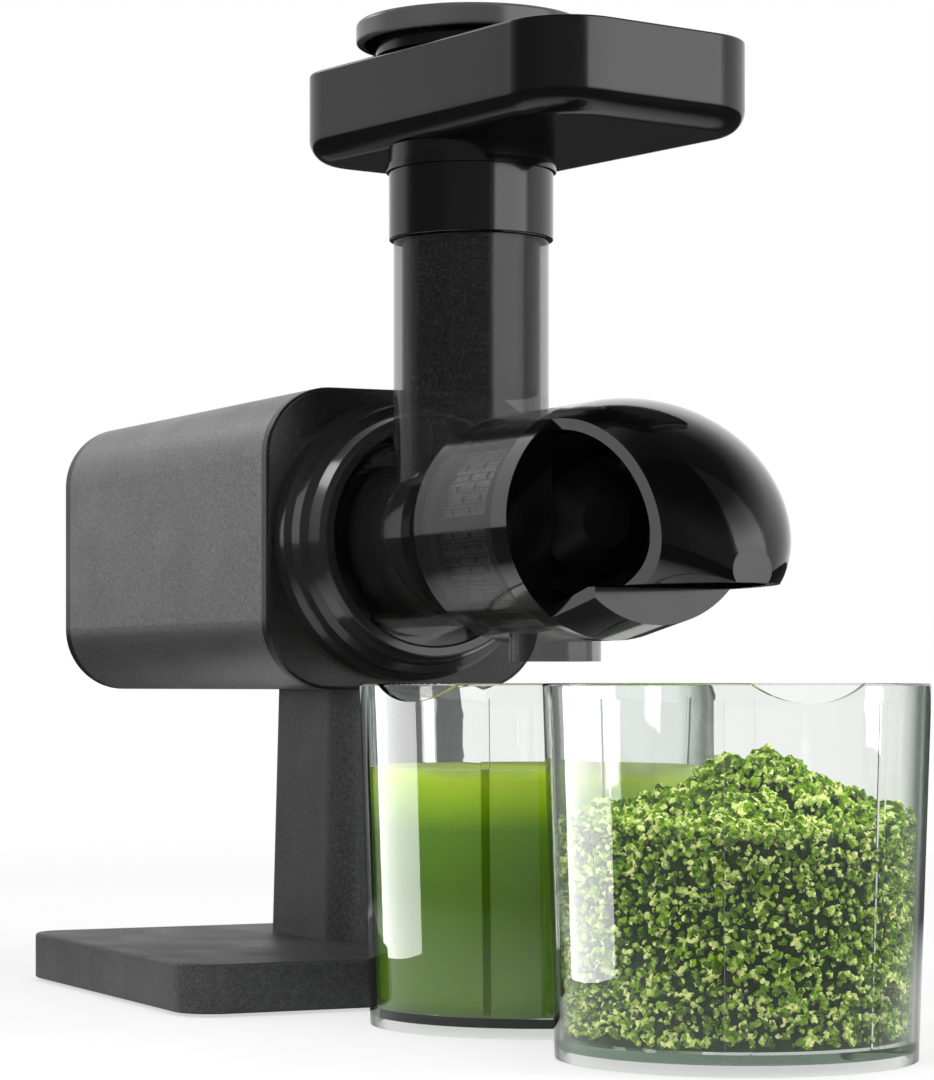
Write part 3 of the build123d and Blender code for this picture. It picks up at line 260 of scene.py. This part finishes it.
def cup_material():
    """Clear moulded plastic with painted shade where the view grazes it, and a faint green-grey body colour.
    """
    m = Material("cup_clear")
    painted_shade_slant = m.add("ShaderNodeLayerWeight")
    painted_shade_slant.inputs["Blend"].default_value = 0.5
    # painted shade: the base colour turns dark where the view grazes the wall
    m.colour(painted_shade_slant.outputs["Facing"], [(0.0, (0.985, 0.990, 0.985)), (0.56, (0.955, 0.972, 0.958)),
                                       (0.66, (0.350, 0.390, 0.350)), (0.78, (0.020, 0.028, 0.022))])
    m.bump(m.noise(18.0, 2.0), 0.05, 0.0004)
    m.set(Transmission_Weight=1.0, IOR=1.49, Roughness=0.0)
    body = m.add("ShaderNodeVolumeAbsorption")
    body.inputs["Color"].default_value = (0.70, 0.76, 0.71, 1.0)
    body.inputs["Density"].default_value = 60.0
    m.put(body.outputs["Volume"], m.out.inputs["Volume"])
    return m.mat


def assign(material, *names):
    """Gives CAD nodes one material in all their slots."""
    for name in names:
        obj = nodes[name]
        if not obj.material_slots:
            obj.data.materials.append(material)
        for slot in obj.material_slots:
            slot.material = material


assign(housing_satin, "housing_shell")
assign(cover_satin, "front_cover", "rear_cover")
assign(stand_matte, "base_plate", "stand_leg")
assign(rubber_black, "rubber_feet", "cord_inlet")
assign(zinc_screw, "stand_screws", "housing_screws", "cover_screws", "collar_screws")
assign(collar_gloss, "front_collar")
assign(gloss_black, "pulp_hood", "chute_collar")
assign(tray_satin, "feed_tray", "pusher_body")
assign(cap_satin, "pusher_cap")
assign(smoky_material(), "juicing_drum")
assign(frame_dark_painted_shade, "screen_frame")
assign(perforated_steel(), "filter_screen")
assign(silicone, "drum_seal")
assign(auger_dark_painted_shade, "auger")
assign(steel, "auger_shank", "output_shaft", "motor_shaft", "idler_pin", "output_bearing")
assign(acetal, "idler_gear", "output_gear")
assign(nylon, "gear_case", "gear_case_lid", "motor_fan", "motor_saddle")
assign(zinc_sheet, "motor_can")
assign(laminated_core(), "motor_stator", "motor_rotor")
assign(board_green, "control_board")
assign(switch_black, "switch_body")
assign(rocker_gloss, "switch_rocker")
assign(cup_material(), "juice_cup", "pulp_cup")


# ------------------------------------------------------------------ mesh helpers
def mesh_object(name, verts, faces, material, smooth=True):
    """New object in the scene; smooth hides the edges between its faces."""
    mesh = bpy.data.meshes.new(name)
    mesh.from_pydata(verts, [], faces)
    mesh.update()
    if smooth:
        mesh.polygons.foreach_set("use_smooth", [True] * len(mesh.polygons))
    mesh.materials.append(material)
    obj = bpy.data.objects.new(name, mesh)
    scene.collection.objects.link(obj)
    return obj


def cup_inner(z):
    """Inner radius of a cup at height z."""
    return CUP_BASE - CUP_WALL + (CUP_RIM - CUP_BASE) * z / CUP_H


def ring(radius, z, steps):
    """Points around the cup's axis at height z, or the one point on the axis."""
    if radius == 0:
        return [(0.0, 0.0, z)]
    angles = [2 * math.pi * i / steps for i in range(steps)]
    return [(radius * math.cos(a), radius * math.sin(a), z) for a in angles]


def closed_skin(rows, centre):
    """Corners and faces over rows of points around a cup's axis; the first and last row are one point."""
    verts, faces, numbers = [], [], []
    for row in rows:
        numbers.append(range(len(verts), len(verts) + len(row)))
        verts.extend((centre.x + x, centre.y + y, z) for x, y, z in row)
    for low, high in zip(numbers, numbers[1:]):
        steps = max(len(low), len(high))
        for i in range(steps):
            j = (i + 1) % steps
            if len(low) == 1:
                faces.append((low[0], high[j], high[i]))
            elif len(high) == 1:
                faces.append((low[i], low[j], high[0]))
            else:
                faces.append((low[i], low[j], high[j], high[i]))
    return verts, faces


# ------------------------------------------------------------------ juice, a sample of its cup's contents
JUICE_TOP = 0.0792                # level that the juice's rounded rim stays just under
JUICE_GAP = 0.00012               # between the juice and the cup's wall and floor
JUICE_STEPS = 128                 # points around


def juice_material():
    """Opaque fresh green juice, lighter and frothy towards the surface."""
    m = Material("green_juice")
    split = m.add("ShaderNodeSeparateXYZ")
    m.put(m.coord.outputs["Object"], split.inputs["Vector"])
    height = m.range(split.outputs["Z"], 0.0, 1.0, 0.006, JUICE_TOP)
    cloudy = m.combine("ADD", height, m.spread(m.noise(26.0, 3.0), -0.035, 0.035))
    m.colour(cloudy, [(0.0, (0.078, 0.172, 0.001)), (0.50, (0.070, 0.165, 0.0005)),
                      (0.74, (0.090, 0.215, 0.0005)), (0.88, (0.300, 0.500, 0.001)),
                      (0.955, (0.420, 0.580, 0.020)), (0.99, (0.300, 0.380, 0.100))])
    m.rough(m.noise(300.0, 3.0), 0.18, 0.30)
    m.bump(m.noise(420.0, 3.0), 0.15, 0.00008)
    m.set(Subsurface_Weight=0.35, Subsurface_Scale=0.010, Subsurface_Radius=(0.5, 1.0, 0.12), IOR=1.35,
          Specular_IOR_Level=0.0)
    return m.mat


def juice_profile():
    """(radius, z) pairs from the axis out along the floor, up the wall and back over the surface."""
    foot, foot_round = CUP_FLOOR + JUICE_GAP, 0.001
    surface, surface_round = JUICE_TOP - 0.0004, 0.0022
    foot_radius, top_radius = cup_inner(CUP_FLOOR), cup_inner(JUICE_TOP)
    wall_low, wall_high = CUP_FLOOR + foot_round, JUICE_TOP - 0.0009
    foot_rings, wall_rings, surface_rings = 6, 24, 14
    pairs = [(foot_radius * i / foot_rings, foot) for i in range(foot_rings)]
    pairs.append((foot_radius - JUICE_GAP - foot_round, foot))
    for i in range(1, wall_rings + 1):
        z = wall_low + (wall_high - wall_low) * i / wall_rings
        pairs.append((cup_inner(z) - JUICE_GAP, z))
    pairs.append((top_radius - JUICE_GAP - 0.0006, JUICE_TOP - 0.0003))
    for i in range(surface_rings, -1, -1):
        pairs.append(((top_radius - surface_round) * i / surface_rings, surface))
    return pairs


juice_rows = [ring(radius, z, JUICE_STEPS) for radius, z in juice_profile()]
juice = mesh_object("juice_fill", *closed_skin(juice_rows, JUICE), juice_material())
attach(juice, "juice_cup")


# ------------------------------------------------------------------ pulp, a sample of its cup's contents
HEAP_LEVEL, HEAP_CROWN = 0.0655, 0.0165      # height without the crown, and the crown's rise
CROWN_RIGHT, CROWN_FRONT = 0.005, -0.006     # the crown's place from the cup's axis
CROWN_WIDTH, CROWN_DEPTH = 0.025, 0.027
HEAP_FALL = 0.07                             # slope of the half that faces the camera
CREVICE_DEPTH = 0.0085
# the folds are dark from their depth and from the core's painted shade, as no crumbs lie in them
# each dark fold: its middle to the right and to the front, half length, half width and turn in radians
CREVICES = ((0.0085, 0.0115, 0.0100, 0.0030, 0.35), (0.0135, 0.0270, 0.0120, 0.0032, -0.30),
            (-0.0170, 0.0190, 0.0080, 0.0026, 0.70), (0.0300, 0.0160, 0.0080, 0.0026, -0.80))
PULP_FOOT = CUP_FLOOR + 0.0006               # underside of the pulp
CORE_STEPS = 200                             # points around the core
CORE_RADIUS = 0.0455                         # of the core's top, just inside its side
CORE_SINK = 0.0010                           # how far the core's top lies under the heap's
CRUMB_GAP = 0.0003                           # between the crumbs and the cup's wall
TOP_CRUMBS, WALL_CRUMBS = 4600, 7200


def crumb_material():
    """Moist green crumbs, each its own green."""
    m = Material("green_crumbs")
    split = m.add("ShaderNodeSeparateColor")
    m.put(m.cells(620.0).outputs["Color"], split.inputs["Color"])
    m.colour(split.outputs["Red"], [(0.0, (0.030, 0.085, 0.0005)), (0.30, (0.100, 0.220, 0.001)),
                                    (0.60, (0.260, 0.470, 0.008)), (0.92, (0.880, 0.960, 0.360))])
    m.rough(m.noise(600.0, 3.0), 0.26, 0.50)
    m.bump(m.noise(1500.0, 3.0), 0.5, 0.0003)
    m.set(Subsurface_Weight=0.12, Subsurface_Scale=0.0020, Subsurface_Radius=(0.5, 1.0, 0.15),
          Specular_IOR_Level=0.15)
    return m.mat


def right_and_front(x, y):
    """How far a point lies to the right of the cup's axis and in front of it, as the camera sees it."""
    return x * TO_RIGHT.x + y * TO_RIGHT.y, x * TO_CAMERA.x + y * TO_CAMERA.y


def crevice(right, front):
    """Depth of the heap's dark folds at a point, 0 to 1."""
    deep = 0.0
    for fold_right, fold_front, half_length, half_width, turn in CREVICES:
        dr, df = right - fold_right, front - fold_front
        along = dr * math.cos(turn) + df * math.sin(turn)
        across = df * math.cos(turn) - dr * math.sin(turn) + 0.0012 * math.sin(dr * 500)
        deep = max(deep, math.exp(-(along / half_length) ** 4 - (across / half_width) ** 2))
    return deep


def pulp_height(x, y):
    """Top of the pulp heap at a point measured from the cup's axis."""
    right, front = right_and_front(x, y)
    crown = HEAP_CROWN * math.exp(-((right - CROWN_RIGHT) / CROWN_WIDTH) ** 2
                                  - ((front - CROWN_FRONT) / CROWN_DEPTH) ** 2)
    heap = HEAP_LEVEL + crown - HEAP_FALL * max(0.0, front)
    clump = 1.0 - abs(noise.noise(Vector((x * 62, y * 62, 3.1)))) * 2.6
    lumps = clump * 0.0032 + noise.noise(Vector((x * 170, y * 170, 8.7))) * 0.0030 - 0.0012
    return heap + lumps - CREVICE_DEPTH * crevice(right, front)


def edge_height(angle):
    """Top of the heap near the cup's wall, at an angle around its axis."""
    return pulp_height(CORE_RADIUS * math.cos(angle), CORE_RADIUS * math.sin(angle))


def core_side_row(share, foot):
    """Ring of the core's uneven side, at a share of the way from its foot to its top."""
    row = []
    for i in range(CORE_STEPS):
        a = 2 * math.pi * i / CORE_STEPS
        z = foot + (edge_height(a) - CORE_SINK - foot) * share
        wobble = 0.0012 + 0.0010 * noise.noise(Vector((a * 30, z * 380, 1.0)))
        r = cup_inner(z) - 0.0014 - wobble
        row.append((r * math.cos(a), r * math.sin(a), z))
    return row


def core_rows():
    """Rings of the pulp's core, painted dark as shade between the crumbs: underside, side and top."""
    foot_radius, foot_rings = cup_inner(CUP_FLOOR) - 0.0016, 11
    side_rings, top_rings = 46, 41
    rows = [ring(foot_radius * k / foot_rings, PULP_FOOT, CORE_STEPS) for k in range(foot_rings + 1)]
    for k in range(1, side_rings + 1):
        rows.append(core_side_row(k / side_rings, PULP_FOOT + 0.001))
    for k in range(top_rings - 1, -1, -1):
        flat = ring(CORE_RADIUS * k / top_rings, 0.0, CORE_STEPS)
        rows.append([(x, y, pulp_height(x, y) - CORE_SINK) for x, y, _ in flat])
    return rows


def unit_ball():
    """Corners and faces of a ball of radius 1, the blank of every crumb."""
    blank = bmesh.new()
    bmesh.ops.create_icosphere(blank, subdivisions=2, radius=1.0)
    corners = np.array([v.co for v in blank.verts])
    faces = [tuple(v.index for v in f.verts) for f in blank.faces]
    blank.free()
    return corners, faces


def crumb(rng, ball, x, y, z, size):
    """Corners of one jagged crumb, pressed inwards where it would reach the cup's wall."""
    turn = rng.uniform(0, 2 * math.pi, 3)
    rot = np.array(Matrix.Rotation(turn[0], 3, "X") @ Matrix.Rotation(turn[1], 3, "Y")
                   @ Matrix.Rotation(turn[2], 3, "Z"))
    lumpy = ball * (1.0 + rng.uniform(-0.45, 0.40, (len(ball), 1)))
    shape = lumpy * np.array([1.0, rng.uniform(0.55, 1.0), rng.uniform(0.45, 0.9)])
    points = shape @ rot.T * size + np.array([x, y, z])
    reach = np.hypot(points[:, 0], points[:, 1])
    limit = cup_inner(z) - CRUMB_GAP
    points[:, :2] *= np.minimum(1.0, limit / np.maximum(reach, 1e-9))[:, None]
    return points


def top_crumb(rng, ball):
    """Crumb somewhere on top of the heap, or None where a crevice opens."""
    a = rng.uniform(0, 2 * math.pi)
    r = 0.0462 * math.sqrt(rng.uniform(0, 1))
    x, y = r * math.cos(a), r * math.sin(a)
    size = rng.uniform(0.0007, 0.0017)
    rise = rng.uniform(-0.0004, 0.0014)
    # no crumbs in the folds, so the core's painted shade shows there
    if crevice(*right_and_front(x, y)) >= 0.45:
        return None
    return crumb(rng, ball, x, y, pulp_height(x, y) + rise, size)


def wall_crumb(rng, ball):
    """Crumb somewhere behind the cup's wall; in loose patches it is smaller and lies deeper."""
    a = rng.uniform(0, 2 * math.pi)
    z = rng.uniform(PULP_FOOT + 0.0014, edge_height(a) + 0.0004)
    clump = noise.noise(Vector((math.cos(a) * 3.6, math.sin(a) * 3.6, z * 75)))
    size = rng.uniform(0.0006, 0.0014) * (1.0 + 0.40 * clump)
    r = cup_inner(z) - size * 0.75 - rng.uniform(0.0002, 0.0010) - 0.0008 * max(0.0, -clump)
    return crumb(rng, ball, r * math.cos(a), r * math.sin(a), z, size)


def build_pulp():
    """Core painted dark as the shade between crumbs, with thousands of jagged crumbs pressed into its skin.
    """
    rng = np.random.default_rng(11)
    verts, faces = closed_skin(core_rows(), PULP)
    core_faces = len(faces)
    ball, ball_faces = unit_ball()
    foot = np.array([PULP.x, PULP.y, 0.0])
    for make, count in ((top_crumb, TOP_CRUMBS), (wall_crumb, WALL_CRUMBS)):
        for _ in range(count):
            points = make(rng, ball)
            if points is not None:
                base = len(verts)
                verts.extend(map(tuple, points + foot))
                faces.extend(tuple(base + i for i in face) for face in ball_faces)
    obj = mesh_object("pulp_fill", verts, faces, crumb_material(), smooth=False)
    # the core's dark colour is painted shade for the gaps between crumbs and the bare folds
    obj.data.materials.append(plastic("pulp_core_painted_shade", (0.004, 0.018, 0.0005), (0.014, 0.046, 0.001), 0.55,
                                      cloud=300, grain=900, grain_depth=0.0003, strength=0.5,
                                      specular=0.1))
    slots = np.zeros(len(faces), dtype=np.int32)
    slots[:core_faces] = 1
    obj.data.polygons.foreach_set("material_index", slots)
    return obj


pulp = build_pulp()
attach(pulp, "pulp_cup")
# the contents don't show in the gloss around them
pulp.visible_glossy = False
juice.visible_glossy = False


# ------------------------------------------------------------------ floor
FLOOR_PALE = (0.86, 0.86, 0.86)
FLOOR_IN_GLOSS = (0.03, 0.03, 0.03)          # far floor as the object's gloss shows it
FLOOR_WHITE, WHITE_RADII = 0.60, (0.35, 1.1)     # share of white near the object; full at the outer radius
FLOOR_DIM, DIM_RADII = 0.10, (0.20, 0.42)        # the same for how dim the floor is in gloss


def floor_material():
    """Pale floor that keeps the object's shadow and fades to the white backdrop further out."""
    m = Material("floor_pale")
    m.set(Roughness=0.9, Specular_IOR_Level=0.1)
    white = m.add("ShaderNodeEmission")
    white.inputs["Strength"].default_value = 1.0
    path = m.add("ShaderNodeLightPath")
    seen = m.combine("MAXIMUM", path.outputs["Is Camera Ray"], path.outputs["Is Transmission Ray"])
    away = m.add("ShaderNodeVectorMath", operation="LENGTH")
    m.put(m.mapped((1, 1, 0)), away.inputs[0])
    fade = m.range(away.outputs["Value"], FLOOR_WHITE, 1.0, *WHITE_RADII)
    dim = m.combine("MULTIPLY", path.outputs["Is Glossy Ray"],
                    m.range(away.outputs["Value"], FLOOR_DIM, 1.0, *DIM_RADII))
    m.colour(dim, [(0.0, FLOOR_PALE), (1.0, FLOOR_IN_GLOSS)])
    share = m.combine("MULTIPLY", seen, fade)
    m.put(m.mix(share, m.bsdf.outputs["BSDF"], white.outputs["Emission"]), m.out.inputs["Surface"])
    return m.mat


floor = mesh_object("floor", [(-8, -8, 0), (8, -8, 0), (8, 8, 0), (-8, 8, 0)], [(0, 1, 2, 3)],
                    floor_material(), smooth=False)


# ------------------------------------------------------------------ the room around the object
AMBIENT = 0.45                    # even light on the object
# the room as gloss shows it: degrees to the right of the camera's side, and brightness there.
# The wall behind is pale, the left front is dark and a soft box stands to the right front.
ROOM = ((-180, 1.05), (-164, 0.85), (-152, 0.66), (-108, 0.66), (-96, 0.16), (-86, 0.08), (-44, 0.10),
        (-30, 0.15), (24, 0.18), (31, 0.50), (34, 2.4), (80, 2.4), (86, 0.80), (140, 0.85), (180, 1.05))
# share of that brightness by height, from 0 straight down over 0.5 level to 1 straight up
ROOM_HEIGHT = ((0.0, 0.2), (0.46, 0.35), (0.50, 1.0), (0.76, 1.0), (0.87, 0.35), (0.94, 0.06), (1.0, 0.04))
RAMP_TOP = 4.0                    # brightness that 1.0 stands for in the ramp over ROOM


def background(world, strength):
    """White light of the given strength."""
    node = world.add("ShaderNodeBackground")
    node.inputs["Color"].default_value = (1, 1, 1, 1)
    world.put(strength, node.inputs["Strength"])
    return node.outputs["Background"]


def dot(world, vector, direction):
    node = world.add("ShaderNodeVectorMath", operation="DOT_PRODUCT")
    world.put(vector, node.inputs[0])
    world.put(direction, node.inputs[1])
    return node.outputs["Value"]


def room_light(world):
    """Brightness of the room in the direction of a ray."""
    toward = world.add("ShaderNodeTexCoord").outputs["Generated"]
    turn = world.combine("ARCTAN2", dot(world, toward, TO_RIGHT), dot(world, toward, TO_CAMERA))
    around = world.range(turn, 0.0, 1.0, -math.pi, math.pi)
    level = world.ramp(around, [((angle + 180) / 360, (value / RAMP_TOP,) * 3) for angle, value in ROOM])
    split = world.add("ShaderNodeSeparateXYZ")
    world.put(toward, split.inputs["Vector"])
    rise = world.range(split.outputs["Z"], 0.0, 1.0, -1.0, 1.0)
    height = world.ramp(rise, [(position, (value,) * 3) for position, value in ROOM_HEIGHT])
    return world.combine("MULTIPLY", world.combine("MULTIPLY", level, height), RAMP_TOP)


def build_world():
    """White for the camera and through clear pieces, even light for the object, and the room for gloss."""
    studio = bpy.data.worlds.new("studio")
    scene.world = studio
    studio.use_nodes = True
    studio.node_tree.nodes.clear()
    world = Tree(studio.node_tree)
    path = world.add("ShaderNodeLightPath").outputs
    direct = world.combine("LESS_THAN", path["Diffuse Depth"], 0.5)
    through = world.combine("MULTIPLY", path["Is Transmission Ray"], direct)
    seen = world.combine("MAXIMUM", path["Is Camera Ray"], through)
    unseen = world.mix(path["Is Glossy Ray"], background(world, AMBIENT),
                       background(world, room_light(world)))
    final = world.mix(seen, unseen, background(world, 1.0))
    world.put(final, world.add("ShaderNodeOutputWorld").inputs["Surface"])


build_world()


# ------------------------------------------------------------------ lamps
# each lamp's place, the point it faces, its width and height, and its power in watts
LAMPS = {"key_left": ((-1.25, -0.55, 0.75), (0, 0, 0.16), (0.7, 0.9), 11.0),
         "top_soft": ((0.1, -0.1, 1.25), (0, -0.02, 0.2), (0.9, 1.1), 9.0),
         "right_strip": ((0.95, -0.75, 0.45), (0, -0.05, 0.18), (0.25, 0.9), 9.0)}
BACK_LAMP = ((-0.62, 0.95, 0.86), (-0.05, 0.10, 0.16), (0.5, 0.35), 1.8)
PANEL_OFFSET = Vector((-0.164, 0.096, 0.056))     # from the foot of a cup's axis to its panel lamp
PANEL_SIZE, PANEL_POWER = (0.14, 0.106), 0.40
CUPS = {"juice_cup": JUICE, "pulp_cup": PULP}


def area_light(name, position, target, size, power, gloss=False):
    """Rectangular lamp that faces a point; only with gloss does it show in the object's gloss."""
    light = bpy.data.lights.new(name, "AREA")
    light.shape = "RECTANGLE"
    light.size, light.size_y = size
    light.energy = power
    obj = bpy.data.objects.new(name, light)
    scene.collection.objects.link(obj)
    obj.location = position
    obj.rotation_euler = (Vector(target) - Vector(position)).to_track_quat("-Z", "Y").to_euler()
    obj.visible_glossy = gloss
    return obj


def only(names, exclude=False):
    """Collection for light linking: the nodes that a lamp lights, or that don't shade it."""
    group = bpy.data.collections.new("linked_" + "_".join(names))
    for name in names:
        group.objects.link(nodes[name])
    if exclude:
        for entry in group.collection_objects:
            entry.light_linking.link_state = "EXCLUDE"
    return group


through_cups = only(CUPS, exclude=True)
for name, (position, target, size, power) in LAMPS.items():
    area_light(name, position, target, size, power).light_linking.blocker_collection = through_cups
area_light("back_left", *BACK_LAMP, gloss=True)
for name, spot in CUPS.items():
    faced = spot + Vector((0, 0, PANEL_OFFSET.z))
    panel = area_light(name + "_panel", spot + PANEL_OFFSET, faced, PANEL_SIZE, PANEL_POWER, gloss=True)
    panel.visible_camera = panel.visible_diffuse = panel.visible_transmission = False
    panel.light_linking.receiver_collection = only((name,))


# ------------------------------------------------------------------ camera, fitted to the photo
camera_data = bpy.data.cameras.new("camera")
camera_data.sensor_width = 36.0
camera_data.sensor_fit = "AUTO"
camera_data.lens = 111.67
camera_data.shift_x = 0.0123
camera_data.shift_y = 0.13426
camera_data.clip_start = 0.01
camera = bpy.data.objects.new("camera", camera_data)
camera.location = (-0.4715, -1.0396 + HOUSING_FRONT, 0.1035)
camera.rotation_euler = (math.radians(90), 0, -0.44)
scene.collection.objects.link(camera)
scene.camera = camera

scene.view_settings.view_transform = "Standard"
